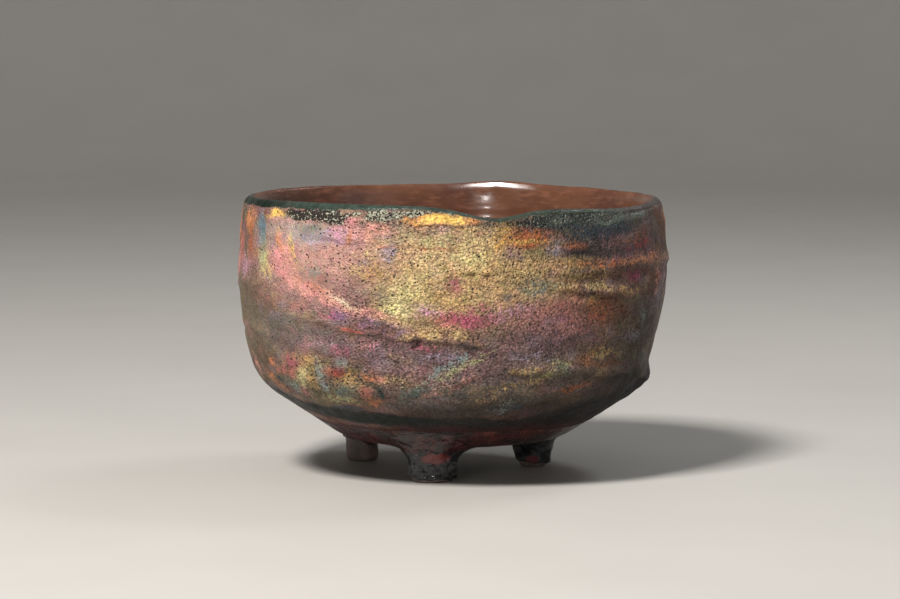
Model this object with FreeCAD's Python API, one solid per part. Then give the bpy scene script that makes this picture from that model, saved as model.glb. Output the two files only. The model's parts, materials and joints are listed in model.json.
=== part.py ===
"""A matcha bowl on three feet, built as the potter builds it: one clay bowl, three clay feet and seven
coats of glaze. Each is a solid of its own, and neighbours meet face to face.

Frame: millimetres, +Z up. The bowl stands on Z = 0, its box is centred on the Z axis, and -Y is its front,
where the lip has its drinking dip. Angles are in degrees about +Z from +X, so the front is at 270.
"""

import FreeCAD, Part
import math
import os
from collections import namedtuple

# ---- driving dimensions ----
WALL_RADIUS = 61.6  # outside of the wall at its widest
LIP_HEIGHT = 79.1  # top of the lip before its waves
BASE_HEIGHT = 9.8  # underside of the base above the table
BASE_RADIUS = 29.0  # flat of the base
LIP_WIDTH = 4.9  # wall and glaze together, just under the lip
FLOOR_THICKNESS = 8.6  # floor and glaze together, beside the tea well
WELL_RADIUS = 9.0  # flat of the tea well
WELL_DEPTH = 1.5
COAT = 0.9  # glaze on the bowl
FOOT_COAT = 0.6  # glaze on the feet
COLUMNS = 72  # control points round the bowl
FOOT_COLUMNS = 24  # control points round a foot
FOOT_TOP = 16.0  # a foot's blank ends here, inside the clay, before it is cut to the base
SHOULDER = 1.0  # the inside's rings start this much further in than the lip's width alone would put them
SEAM = 1e-4  # the widest gap that sewing faces together closes

FLOOR_HEIGHT = BASE_HEIGHT + FLOOR_THICKNESS
INNER_RADIUS = WALL_RADIUS - SHOULDER - LIP_WIDTH

# ---- outline of the glazed bowl: rings of control points as (radius, height), a list for each coat ----
BELLY = [
    (BASE_RADIUS, BASE_HEIGHT),
    (BASE_RADIUS + 3.6, BASE_HEIGHT + 0.5),
    (BASE_RADIUS + 7.4, BASE_HEIGHT + 3.5),
]
WALL = [
    (BASE_RADIUS + 13.4, BASE_HEIGHT + 7.6),
    (BASE_RADIUS + 20.6, BASE_HEIGHT + 12.2),
    (WALL_RADIUS - 5.6, BASE_HEIGHT + 17.4),
    (WALL_RADIUS - 2.9, LIP_HEIGHT - 45.1),
    (WALL_RADIUS - 1.4, LIP_HEIGHT - 37.6),
    (WALL_RADIUS - 0.4, LIP_HEIGHT - 29.6),
    (WALL_RADIUS, LIP_HEIGHT - 21.6),
    (WALL_RADIUS - 0.1, LIP_HEIGHT - 14.6),
    (WALL_RADIUS - 0.6, LIP_HEIGHT - 7.0),
]
LIP = [
    (WALL_RADIUS - 0.9, LIP_HEIGHT - 2.8),
    (WALL_RADIUS - 1.4, LIP_HEIGHT + 0.2),
    (WALL_RADIUS - 3.6, LIP_HEIGHT + 1.0),
]
INSIDE = [
    (INNER_RADIUS + 0.7, LIP_HEIGHT - 0.6),
    (INNER_RADIUS, LIP_HEIGHT - 6.0),
    (INNER_RADIUS - 0.4, LIP_HEIGHT - 15.1),
    (INNER_RADIUS - 0.9, LIP_HEIGHT - 24.1),
    (INNER_RADIUS - 1.9, LIP_HEIGHT - 33.1),
    (INNER_RADIUS - 3.8, LIP_HEIGHT - 41.1),
    (INNER_RADIUS - 7.6, LIP_HEIGHT - 48.1),
    (INNER_RADIUS - 14.5, FLOOR_HEIGHT + 7.2),
    (INNER_RADIUS - 24.0, FLOOR_HEIGHT + 2.8),
    (WELL_RADIUS + 14.0, FLOOR_HEIGHT + 0.7),
    (WELL_RADIUS + 5.5, FLOOR_HEIGHT),
    (WELL_RADIUS + 2.5, FLOOR_HEIGHT - 0.2),
    (WELL_RADIUS, FLOOR_HEIGHT - WELL_DEPTH),
]

# ---- what the hands left ----
# How far the bowl is from round: (share of the radius, number of lobes, angle of one lobe).
OUT_OF_ROUND = [(0.006, 2, 12), (0.003, 3, 40)]
# Swellings and dents: (angle, width) in degrees, and (height, spread, depth) in mm.
HAND_MARKS = [
    (0, 26, 36.0, 6.0, -1.5),  # hollow above the hip on the right
    (352, 22, 27.0, 3.5, 0.8),  # the hip's ledge below it
    (350, 30, 20.5, 4.5, 2.2),  # full belly below the ledge
    (5, 30, 61.0, 7.0, 0.7),  # swelling on the right
    (180, 34, 56.0, 16.0, 0.4),  # full left side
    (200, 20, 30.0, 6.0, 0.6),  # left hip
    (262, 24, 42.0, 9.0, -0.5),  # thumb hollow at the front
    (300, 18, 52.0, 8.0, 0.5),
    (60, 28, 47.0, 10.0, -0.9),  # palm hollow at the back
    (120, 26, 60.0, 9.0, 0.5),
    (140, 22, 30.0, 6.0, -0.7),
]
# Waves of the lip: (angle, width) in degrees and lift in mm. They die out down the wall.
LIP_WAVES = [
    (281, 6.5, -3.0),  # the drinking dip
    (232, 24, 0.9),
    (262, 10, 0.3),
    (327, 17, -1.3),
    (76, 8, 1.0),
    (20, 20, -0.4),
    (150, 18, 0.3),
]
WAVE_FOOT = 44.0  # no wave below this height
WAVE_FADE = 1.6  # power that the waves grow with, from there to the lip

# ---- feet ----
# at is the middle of the sole; sole and waist are radii; stretch is along the axis that turn gives, in
# degrees; spread is how far the foot widens into the base; below the height bare its clay has no glaze.
Foot = namedtuple("Foot", "at sole waist stretch turn spread bare")
FEET = {
    "front": Foot(at=(-6.0, -26.0), sole=6.0, waist=6.2, stretch=1.05, turn=10, spread=3.6, bare=1.4),
    "left": Foot(at=(-27.0, 19.2), sole=4.6, waist=4.9, stretch=1.05, turn=60, spread=1.2, bare=5.8),
    "right": Foot(at=(23.6, 6.0), sole=3.9, waist=6.1, stretch=1.08, turn=100, spread=1.8, bare=1.6),
}
# Outline of a foot: (height, how far its radius has gone from sole to waist, share of the spread, extra).
FOOT_OUTLINE = [
    (0.0, 0.0, 0.0, -1.0),
    (0.15, 0.0, 0.0, 0.1),
    (1.9, 0.3, 0.0, 0.3),
    (4.4, 0.6, 0.0, 0.0),
    (6.8, 1.0, 0.05, 0.0),
    (8.8, 1.0, 0.35, 0.0),
    (10.4, 1.0, 0.8, 0.0),
    (12.4, 1.0, 1.0, 0.0),
    (FOOT_TOP, 1.0, 1.0, 0.0),
]
# Finger-pressed sides of a foot: (share of the radius, number of lobes, which way they turn with the foot).
FOOT_LUMPS = [(0.035, 3, 1), (0.02, 5, -1)]


def bump(value, centre, width):
    return math.exp(-0.5 * ((value - centre) / width) ** 2)


def turn_from(angle, centre):
    """How far angle is from centre, between -180 and 180 degrees."""
    return (angle - centre + 180.0) % 360.0 - 180.0


def place(angle, radius, height):
    """The point of the handmade bowl where a true one would have (angle, radius, height)."""
    out_of_round = sum(
        share_of_radius * math.cos(math.radians(lobes * (angle - at)))
        for share_of_radius, lobes, at in OUT_OF_ROUND
    )
    hand = sum(
        depth * bump(turn_from(angle, at), 0, width) * bump(height, level, spread)
        for at, width, level, spread, depth in HAND_MARKS
    )
    upness = min(1.0, max(0.0, (height - WAVE_FOOT) / (LIP_HEIGHT - WAVE_FOOT)))
    lift = sum(wave * bump(turn_from(angle, at), 0, width) for at, width, wave in LIP_WAVES)
    share = min(1.0, radius / WALL_RADIUS)
    r = radius * (1.0 + out_of_round * share) + hand * share
    z = height + lift * upness**WAVE_FADE
    a = math.radians(angle)
    return FreeCAD.Vector(r * math.cos(a), r * math.sin(a), z)


def outline():
    """All rings from the base's edge to the tea well, in one list, with its length after each coat."""
    rings = []
    ends = []
    for coat in (BELLY, WALL, LIP, INSIDE):
        rings += coat
        ends.append(len(rings))
    return rings, ends


def sunk(rings, depth):
    """The outline moved depth into the clay. Its ends move straight up or down, to keep both flats flat."""
    moved = []
    for i, (r, z) in enumerate(rings):
        if i == 0:
            normal = (0.0, -1.0)
        elif i == len(rings) - 1:
            normal = (0.0, 1.0)
        else:
            dr = rings[i + 1][0] - rings[i - 1][0]
            dz = rings[i + 1][1] - rings[i - 1][1]
            length = math.hypot(dr, dz)
            normal = (dz / length, -dr / length)
        moved.append((r - normal[0] * depth, z - normal[1] * depth))
    return moved


def rows_of(rings):
    step = 360.0 / COLUMNS
    return [[place(i * step, r, z) for i in range(COLUMNS)] for r, z in rings]


def halfway(row_a, row_b):
    return [(a + b) * 0.5 for a, b in zip(row_a, row_b)]


def skin(rows):
    """A smooth surface, closed round Z, whose control points are the rows."""
    columns = len(rows[0])
    degree = min(3, len(rows) - 1)
    spans = len(rows) - degree
    surface = Part.BSplineSurface()
    surface.buildFromPolesMultsKnots(
        [[row[i] for row in rows] for i in range(columns)],
        [1] * (columns + 1),
        [degree + 1] + [1] * (spans - 1) + [degree + 1],
        list(range(columns + 1)),
        list(range(spans + 1)),
        True,
        False,
        3,
        degree,
    )
    return surface


def flat(row):
    """The flat face inside a level row."""
    edge = skin([row, [p + FreeCAD.Vector(0, 0, 1) for p in row]]).vIso(0).toShape()
    return Part.Face(Part.Wire([edge]))


def solid(surfaces):
    """A closed solid from surfaces and flat faces that share their edges."""
    faces = [s if isinstance(s, Part.Face) else s.toShape() for s in surfaces]
    shell = Part.makeCompound(faces)
    shell.sewShape(SEAM)
    made = Part.Solid(shell if shell.ShapeType == "Shell" else shell.Shells[0])
    if made.Volume < 0:
        made.reverse()
    return made


def coats(level_rows, ends):
    """The four skins of one level. Each ends on a line that it shares with the next."""
    lines = [halfway(level_rows[e - 1], level_rows[e]) for e in ends[:-1]]
    starts = [0] + ends[:-1]
    groups = []
    for k, (start, end) in enumerate(zip(starts, ends)):
        rows = level_rows[start:end]
        if k > 0:
            rows = [lines[k - 1]] + rows
        if k < len(lines):
            rows = rows + [lines[k]]
        groups.append(rows)
    return groups, lines


def bowl_and_coats():
    """The clay bowl and its four coats, as solids by name."""
    rings, ends = outline()
    outer, outer_lines = coats(rows_of(rings), ends)
    clay, clay_lines = coats(rows_of(sunk(rings, COAT)), ends)
    ends_between = [skin([a, b]) for a, b in zip(clay_lines, outer_lines)]
    names = ["base_glaze", "copper_matte_glaze", "rim_glaze", "interior_glaze"]
    made = {}
    for k, name in enumerate(names):
        faces = [skin(clay[k]), skin(outer[k])] + ends_between[max(0, k - 1) : k + 1]
        if k == 0:
            faces += [flat(clay[k][0]), flat(outer[k][0])]
        if k == len(names) - 1:
            faces += [flat(clay[k][-1]), flat(outer[k][-1])]
        made[name] = solid(faces)
    made["clay_bowl"] = solid([skin(rows) for rows in clay] + [flat(clay[0][0]), flat(clay[-1][-1])])
    return made


def foot_blank(foot, coat=0.0):
    """A foot from its sole up to FOOT_TOP, with the coat added to its sides."""
    turn = math.radians(foot.turn)
    rows = []
    for height, to_waist, spread_share, extra in FOOT_OUTLINE:
        radius = foot.sole + to_waist * (foot.waist - foot.sole) + spread_share * foot.spread + extra
        row = []
        for i in range(FOOT_COLUMNS):
            a = 2 * math.pi * i / FOOT_COLUMNS
            lumps = sum(part * math.cos(lobes * a + way * turn) for part, lobes, way in FOOT_LUMPS)
            r = radius * (1.0 + lumps) + coat
            along = r * foot.stretch * math.cos(a)
            across = r / foot.stretch * math.sin(a)
            x = foot.at[0] + along * math.cos(turn) - across * math.sin(turn)
            y = foot.at[1] + along * math.sin(turn) + across * math.cos(turn)
            row.append(FreeCAD.Vector(x, y, height))
        rows.append(row)
    return solid([skin(rows), flat(rows[0]), flat(rows[-1])])


def slab_below(height):
    """Everything under the bowl, up to height."""
    corner = FreeCAD.Vector(-WALL_RADIUS, -WALL_RADIUS, 0)
    return Part.makeBox(2 * WALL_RADIUS, 2 * WALL_RADIUS, height, corner)


def feet_and_coats(bowl):
    """Each foot, cut to the clay, and its sleeve of glaze. The bowl's own glaze opens round them."""
    made = {}
    for name, foot in FEET.items():
        blank = foot_blank(foot)
        glazed = foot_blank(foot, FOOT_COAT)
        made[f"foot_{name}"] = blank.cut(bowl["clay_bowl"])
        sleeve = glazed.cut(slab_below(foot.bare)).cut(blank)
        made[f"foot_{name}_glaze"] = sleeve.cut(bowl["clay_bowl"])
        for coat in ("base_glaze", "copper_matte_glaze"):
            bowl[coat] = bowl[coat].cut(glazed)
    return made


def main():
    parts = bowl_and_coats()
    parts.update(feet_and_coats(parts))
    box = Part.makeCompound(list(parts.values())).optimalBoundingBox(False, False)
    to_centre = FreeCAD.Vector(-box.Center.x, -box.Center.y, 0)
    os.makedirs("parts", exist_ok=True)
    for name, shape in parts.items():
        shape.translate(to_centre)
        assert shape.isValid() and len(shape.Solids) == 1, f"{name} is not one sound solid"
        shape.exportStep(f"parts/{name}.step")
        print(f"{name}: {shape.Volume / 1000:.2f} cm3")
    print(f"box {box.XLength:.2f} x {box.YLength:.2f} x {box.ZLength:.2f} mm")
    for name, foot in FEET.items():
        x, y = foot.at
        print(f"sole of foot_{name} at {x + to_centre.x:.2f}, {y + to_centre.y:.2f}")


main()
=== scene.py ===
"""The looks of a matcha bowl on three feet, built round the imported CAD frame.

Lengths are in millimetres inside the functions and in metres in every mesh. An azimuth is in degrees from the
front, which is -Y, and grows towards +X, so the right side of the bowl is at 90 and its back at 180.
"""

import itertools
import json
import math
import random

import bpy
import numpy as np
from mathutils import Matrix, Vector
from mathutils.bvhtree import BVHTree


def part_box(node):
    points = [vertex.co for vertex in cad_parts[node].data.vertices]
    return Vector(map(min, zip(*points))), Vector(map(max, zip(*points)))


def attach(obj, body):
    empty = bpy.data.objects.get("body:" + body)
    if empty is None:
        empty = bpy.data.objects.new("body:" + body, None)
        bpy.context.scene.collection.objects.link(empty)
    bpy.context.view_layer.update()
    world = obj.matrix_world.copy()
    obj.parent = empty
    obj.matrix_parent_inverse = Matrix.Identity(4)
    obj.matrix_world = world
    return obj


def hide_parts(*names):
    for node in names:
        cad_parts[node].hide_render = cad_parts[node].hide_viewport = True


MM = 0.001

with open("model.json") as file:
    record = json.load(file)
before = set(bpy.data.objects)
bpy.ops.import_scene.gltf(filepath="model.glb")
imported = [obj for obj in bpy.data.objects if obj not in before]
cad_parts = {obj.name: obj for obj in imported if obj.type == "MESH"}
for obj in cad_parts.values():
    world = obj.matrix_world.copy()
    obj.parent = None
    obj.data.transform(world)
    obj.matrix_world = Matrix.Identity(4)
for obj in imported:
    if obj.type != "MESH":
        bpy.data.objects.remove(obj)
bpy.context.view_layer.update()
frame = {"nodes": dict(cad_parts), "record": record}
nodes = frame["nodes"]

# ---- sizes, from the frame ----
SWELL = 0.6  # how far the wall swells out past its middle radius
WAVE = 1.1  # how far the lip's waves rise over its mean height
COAT = (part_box("copper_matte_glaze")[1].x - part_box("clay_bowl")[1].x) / MM  # glaze on the bowl
BASE_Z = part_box("base_glaze")[0].z / MM  # underside of the base
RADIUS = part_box("copper_matte_glaze")[1].x / MM - SWELL  # middle radius of the wall
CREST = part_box("rim_glaze")[1].z / MM - WAVE  # top of the lip before its waves
WELL_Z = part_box("interior_glaze")[0].z / MM + COAT  # bottom of the tea well

# ---- how finely the bowl is meshed ----
COLUMNS = 560
ROWS = {"base": 60, "wall": 150, "lip": 34, "inside": 124}
BACK_EVERY = 12  # the hidden back of a coat keeps one row in this many
POLE = 0.5  # radius of the hole that a fan closes at the centre
BED = 0.05  # gap between the clay and the back of a coat
DEEPEST = 0.62  # no mark goes deeper than this into a coat
HIGHEST = 1.1  # no ridge or blister stands higher than this over a coat

# ---- outline that the surface is sought along: (radius, height) ----
OUTLINE = {
    "base": [(0, BASE_Z), (12, BASE_Z), (22, BASE_Z), (29, BASE_Z + 0.1), (34.5, BASE_Z + 2.2), (39.4, 15.4)],
    "wall": [
        (39.4, 15.4),
        (49.0, 21.4),
        (RADIUS - 6.9, 27.0),
        (RADIUS - 3.4, 34.0),
        (RADIUS - 1.8, 41.5),
        (RADIUS - 0.6, 49.5),
        (RADIUS - 0.2, 57.5),
        (RADIUS - 0.3, 65.0),
        (RADIUS - 0.8, CREST - 5.5),
    ],
    "lip": [
        (RADIUS - 0.8, CREST - 5.5),
        (RADIUS - 1.1, CREST - 2.6),
        (RADIUS - 1.9, CREST - 0.9),
        (RADIUS - 3.2, CREST),
        (RADIUS - 4.6, CREST - 0.4),
    ],
    "inside": [
        (RADIUS - 4.6, CREST - 0.4),
        (RADIUS - 5.6, CREST - 2.2),
        (RADIUS - 6.2, CREST - 6.6),
        (RADIUS - 6.5, 64.0),
        (RADIUS - 7.0, 55.0),
        (RADIUS - 8.2, 46.0),
        (RADIUS - 10.2, 38.0),
        (RADIUS - 14.3, 31.0),
        (RADIUS - 21.0, 25.6),
        (30.0, 20.8),
        (21.0, 18.9),
        (14.0, 18.3),
        (10.8, WELL_Z + 0.9),
        (8.0, WELL_Z),
        (0, WELL_Z),
    ],
}
WAVE_FOOT = 44.0  # the waves of the lip die out at this height
WAVE_FADE = 1.6
REACH = 5.0  # how far from the outline the clay is sought
SHARP = 62  # edges that turn by more than this many degrees aren't shaded smooth


# ---------------------------------------------------------------- small tools


def bell(value, width):
    return np.exp(-((value / width) ** 2))


def step(value, low, high):
    t = np.clip((value - low) / (high - low), 0.0, 1.0)
    return t * t * (3.0 - 2.0 * t)


# Multipliers that turn a lattice point and a seed into a number that looks random.
SCATTER = np.array([374761393, 668265263, 1442695041])
SEED_STEP = 974634777
STIR = 1274126177
LOW_BITS = 0xFFFFFFFF


def lattice_noise(points, seed):
    """Smooth noise from -1 to 1, whose lattice is one unit wide."""
    cell = np.floor(points).astype(np.int64)
    part = points - cell
    part = part * part * (3.0 - 2.0 * part)
    total = np.zeros(points.shape[:-1])
    for corner in itertools.product((0, 1), repeat=3):
        at = cell + np.array(corner)
        key = (at @ SCATTER + seed * SEED_STEP) & LOW_BITS
        key = ((key ^ (key >> 13)) * STIR) & LOW_BITS
        value = (key ^ (key >> 16)) / 2.0**31 - 1.0
        weight = np.prod(np.where(np.array(corner) == 1, part, 1.0 - part), axis=-1)
        total += value * weight
    return total


def cloud(points, size, octaves, seed, squash=1.0):
    """Noise in octaves. size is the width of the largest lumps in mm, and squash flattens them."""
    scaled = points / size * np.array([1.0, 1.0, squash])
    total = 0.0
    for k in range(octaves):
        total = total + lattice_noise(scaled * 2.0**k, seed + k) / 2.0**k
    return total


def smooth_curve(points, per_span=40):
    """A Catmull-Rom curve through the points, finely divided."""
    p = np.array(points, float)
    p = np.vstack([2 * p[0] - p[1], p, 2 * p[-1] - p[-2]])
    t = np.linspace(0, 1, per_span, endpoint=False)[:, None]
    spans = []
    for a, b, c, d in zip(p, p[1:], p[2:], p[3:]):
        square, cube = 2 * a - 5 * b + 4 * c - d, 3 * b - a - 3 * c + d
        spans.append(0.5 * (2 * b + (c - a) * t + square * t**2 + cube * t**3))
    return np.vstack(spans + [p[-2:-1]])


def tree_of(piece):
    """A search tree over a piece's mesh."""
    mesh = piece.data
    faces = [list(face.vertices) for face in mesh.polygons]
    return BVHTree.FromPolygons([v.co.copy() for v in mesh.vertices], faces)


def fill_gaps(values):
    """Values round a ring, with each missing one taken from those beside it."""
    for ring in values:
        good = np.flatnonzero(~np.isnan(ring))
        if 0 < len(good) < len(ring):
            ring[:] = np.interp(np.arange(len(ring)), good, ring[good], period=len(ring))
    return values


def write_attribute(mesh, name, values):
    """Numbers or colours on the mesh's points. The hubs of fans, which come last, repeat the last value."""
    spare = len(mesh.vertices) - len(values)
    values = np.concatenate([values, np.repeat(values[-1:], spare, axis=0)]).astype(np.float32)
    if values.ndim == 1:
        mesh.attributes.new(name, "FLOAT", "POINT").data.foreach_set("value", values)
    else:
        values = np.column_stack([values, np.ones(len(values), np.float32)])
        mesh.attributes.new(name, "FLOAT_COLOR", "POINT").data.foreach_set("color", values.ravel())


def put_in_scene(name, data):
    made = bpy.data.objects.new(name, data)
    bpy.context.scene.collection.objects.link(made)
    return made


def closed_mesh(name, rings, loop, attributes=None):
    """A closed mesh through rings of points. A loop joins its last ring to its first.

    Without a loop, a fan closes each end.
    """
    rows, columns = len(rings), len(rings[0])
    points = np.vstack(rings)
    index = np.arange(rows * columns).reshape(rows, columns)
    below = index if loop else index[:-1]
    above = np.roll(index, -1, axis=0) if loop else index[1:]
    quads = np.stack([below, np.roll(below, -1, 1), np.roll(above, -1, 1), above], -1).reshape(-1, 4)
    fans = []
    if not loop:
        for ring, flip in ((index[0], True), (index[-1], False)):
            hub = len(points)
            points = np.vstack([points, points[ring].mean(0)])
            pairs = zip(ring, np.roll(ring, -1))
            fans += [(b, a, hub) if flip else (a, b, hub) for a, b in pairs]
    triangles = np.vstack([quads[:, [0, 1, 2]], quads[:, [0, 2, 3]]] + ([np.array(fans)] if fans else []))
    a, b, c = (points[triangles[:, k]] for k in range(3))
    if np.einsum("ij,ij->i", a, np.cross(b, c)).sum() < 0:
        quads = quads[:, ::-1]
        fans = [fan[::-1] for fan in fans]
    mesh = bpy.data.meshes.new(name)
    faces = [tuple(map(int, face)) for face in itertools.chain(quads, fans)]
    mesh.from_pydata((points * MM).tolist(), [], faces)
    for key, values in (attributes or {}).items():
        write_attribute(mesh, key, values)
    mesh.polygons.foreach_set("use_smooth", [True] * len(mesh.polygons))
    mesh.set_sharp_from_angle(angle=math.radians(SHARP))
    return put_in_scene(name, mesh)


def stand_for(piece, node, material):
    """The piece takes the CAD node's place."""
    piece.data.materials.append(material)
    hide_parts(node)
    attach(piece, "root")


# ---------------------------------------------------------------- relief of the wall

# Ridges and creases: stations of (azimuth, height), then height above the wall, width above and width below.
# A negative height is a groove.
RIDGES = [
    ([(22, 63.0), (34, 62.0), (48, 62.3), (66, 63.0), (92, 62.4), (112, 61.0)], 0.55, 2.4, 1.2),
    ([(34, 60.0), (60, 60.4), (90, 60.2), (108, 59.6)], -0.18, 0.9, 1.3),
    ([(25, 57.8), (32, 57.0), (40, 55.8), (54, 55.2)], 0.55, 2.0, 0.6),
    ([(14, 34.2), (30, 34.6), (45, 33.6), (60, 31.2), (80, 28.4), (100, 27.5)], 0.95, 3.0, 0.9),
    ([(6, 21.5), (18, 24.2), (30, 26.4), (44, 27.6)], 0.5, 2.4, 0.8),
    ([(-8, 26.5), (0, 31.5), (10, 34.8)], 0.32, 2.0, 0.9),
    ([(-44, 48.6), (-30, 45.8), (-20, 45.2), (-13, 43.2), (-10, 42.6)], 0.42, 2.4, 0.6),
    ([(-9, 43.4), (-4, 43.6), (2, 43.0), (7, 41.0), (13, 42.6)], 0.45, 2.0, 0.6),
    ([(-16, 75.0), (-6, 75.1), (7, 75.2)], -0.28, 0.35, 0.35),
    ([(-37, 71.2), (-30, 70.6), (-22, 70.8)], -0.3, 0.4, 0.3),
    ([(-19, 69.0), (-10, 68.9), (-1, 69.0)], -0.26, 0.4, 0.3),
    ([(-92, 57.5), (-80, 57.2), (-62, 56.0)], 0.35, 2.0, 1.0),
    ([(-90, 44.0), (-70, 43.5), (-52, 42.5)], 0.3, 1.6, 1.0),
    ([(118, 66.5), (150, 67.5), (178, 66.0)], 0.6, 2.2, 0.8),
    ([(130, 52.0), (160, 50.0), (188, 51.5), (214, 50.0)], 0.7, 2.6, 0.8),
    ([(170, 36.0), (200, 38.0), (236, 36.5)], 0.55, 2.4, 0.9),
    ([(196, 63.0), (222, 61.0), (250, 62.0)], 0.5, 2.0, 0.8),
    ([(104, 40.0), (126, 43.0), (148, 42.0)], 0.5, 2.2, 0.9),
]
# Dents and swellings: azimuth, height, half width, half height, depth.
MARKS = [
    (-10.5, 42.7, 2.2, 0.9, -0.9),
    (-7.5, 44.8, 2.6, 1.4, 0.4),
    (5.5, 41.0, 2.6, 1.0, -0.5),
    (4.4, 63.1, 1.6, 0.9, 0.5),
    (4.8, 61.7, 1.5, 0.6, -0.7),
    (8.4, 62.7, 1.3, 0.8, 0.45),
    (8.8, 61.4, 1.3, 0.6, -0.65),
    (12.4, 60.4, 1.0, 0.6, 0.35),
    (13.5, 55.3, 1.0, 0.8, -0.3),
    (-3.0, 76.6, 9.0, 1.5, 0.3),
    (64.0, 55.0, 3.6, 5.0, -0.5),
    (73.0, 56.0, 3.0, 6.0, 0.35),
    (-61.5, 70.0, 1.7, 7.5, -0.4),
    (-66.5, 68.0, 1.4, 8.0, 0.3),
    (-76.0, 70.0, 1.5, 7.0, -0.25),
    (-49.0, 66.0, 1.3, 4.0, 0.25),
    (12.0, 47.0, 6.0, 4.0, 0.25),
    (45.0, 38.5, 7.0, 3.0, -0.35),
    (84.0, 75.2, 9.0, 3.2, 0.65),
    (88.0, 26.6, 14.0, 1.8, 0.6),
    (86.0, 31.6, 12.0, 2.4, -0.6),
    (-88.0, 54.6, 10.0, 1.3, 0.4),
    (-88.0, 42.6, 10.0, 1.1, -0.45),
    (-90.0, 66.0, 8.0, 1.2, -0.3),
    (140.0, 58.0, 7.0, 6.0, -0.4),
    (205.0, 45.0, 6.0, 5.0, -0.4),
    (242.0, 70.0, 2.0, 7.0, -0.35),
]


def from_azimuth(azimuth, centre):
    return (azimuth - centre + 180.0) % 360.0 - 180.0


def ridge_relief(azimuth, height):
    """Ridges and creases, each fading out at its ends over some degrees outside and inside them."""
    outside, inside = 3, 8
    total = np.zeros_like(height)
    for stations, rise, above, below in RIDGES:
        at, level = np.array(stations, float).T
        middle = (at[0] + at[-1]) / 2
        turned = from_azimuth(azimuth, middle) + middle
        line = np.interp(turned, at, level)
        ends = step(turned, at[0] - outside, at[0] + inside)
        ends = ends * (1.0 - step(turned, at[-1] - inside, at[-1] + outside))
        away = height - line
        total += rise * ends * bell(away, np.where(away > 0, above, below))
    return total


def mark_relief(azimuth, height):
    total = np.zeros_like(height)
    for at, level, half_width, half_height, depth in MARKS:
        along = np.radians(from_azimuth(azimuth, at)) * RADIUS
        total += depth * bell(along, half_width) * bell(height - level, half_height)
    return total


def wall_relief(points):
    """How far the fired surface stands out from a smooth one."""
    azimuth = np.degrees(np.arctan2(points[..., 0], -points[..., 1]))
    height = points[..., 2]
    drift = cloud(points, 8.0, 2, 11)
    ridges = ridge_relief(azimuth + 2.0 * drift, height + 0.7 * drift + 0.25 * cloud(points, 2.4, 2, 12))
    marks = mark_relief(azimuth, height + 0.3 * drift)
    coarse = 0.5 + 0.5 * step(azimuth, -45, -15)
    coarse = np.where(azimuth > 100, 0.8, coarse)
    calm = 1.0 - 0.6 * bell(from_azimuth(azimuth, -3), 12) * bell(height - 76.8, 2.0)
    lumps = 0.26 * cloud(points, 10.0, 2, 21, 1.5) + 0.11 * cloud(points, 3.6, 2, 31, 1.3)
    grit = 0.05 * cloud(points, 1.8, 1, 41)
    return ridges + marks + coarse * calm * (lumps + grit)


def lip_relief(points):
    return 0.16 * cloud(points, 7.0, 2, 51) + 0.05 * cloud(points, 2.2, 1, 52)


def inside_relief(points):
    """The spiral that the potter's fingers left, and a little unevenness."""
    pitch = 5.2
    turn = np.arctan2(points[..., 1], points[..., 0])
    radius = np.hypot(points[..., 0], points[..., 1])
    climb = points[..., 2] + (RADIUS - radius) * 0.8
    spiral = np.sin(2 * np.pi * climb / pitch + turn + 0.8 * cloud(points, 18.0, 1, 62))
    fade = step(radius, 12.0, 24.0) * (1.0 - step(points[..., 2], CREST - 10, CREST - 3))
    return 0.11 * spiral * fade + 0.12 * cloud(points, 11.0, 2, 61)


def base_relief(points):
    return 0.2 * cloud(points, 8.0, 2, 71) + 0.06 * cloud(points, 2.6, 1, 72)


# ---------------------------------------------------------------- the bowl's four coats


def lip_lift(clay):
    """How far the crest stands above or below its mean height at each column."""
    innermost, outermost, pitch = RADIUS - 5.0, RADIUS - 0.5, 0.5
    above, reach = 8, 20
    crest = np.zeros(COLUMNS)
    for i in range(COLUMNS):
        turn = 2 * math.pi * i / COLUMNS
        for radius in np.arange(innermost, outermost, pitch):
            start = Vector((radius * math.cos(turn), radius * math.sin(turn), CREST + above)) * MM
            hit = clay.ray_cast(start, Vector((0, 0, -1)), reach * MM)[0]
            if hit:
                crest[i] = max(crest[i], hit.z / MM + COAT)
    return crest - CREST


def averaged_round(grid):
    """Each value of a row, averaged with those beside it."""
    return (np.roll(grid, 1, 1) + 2 * grid + np.roll(grid, -1, 1)) / 4


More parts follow.
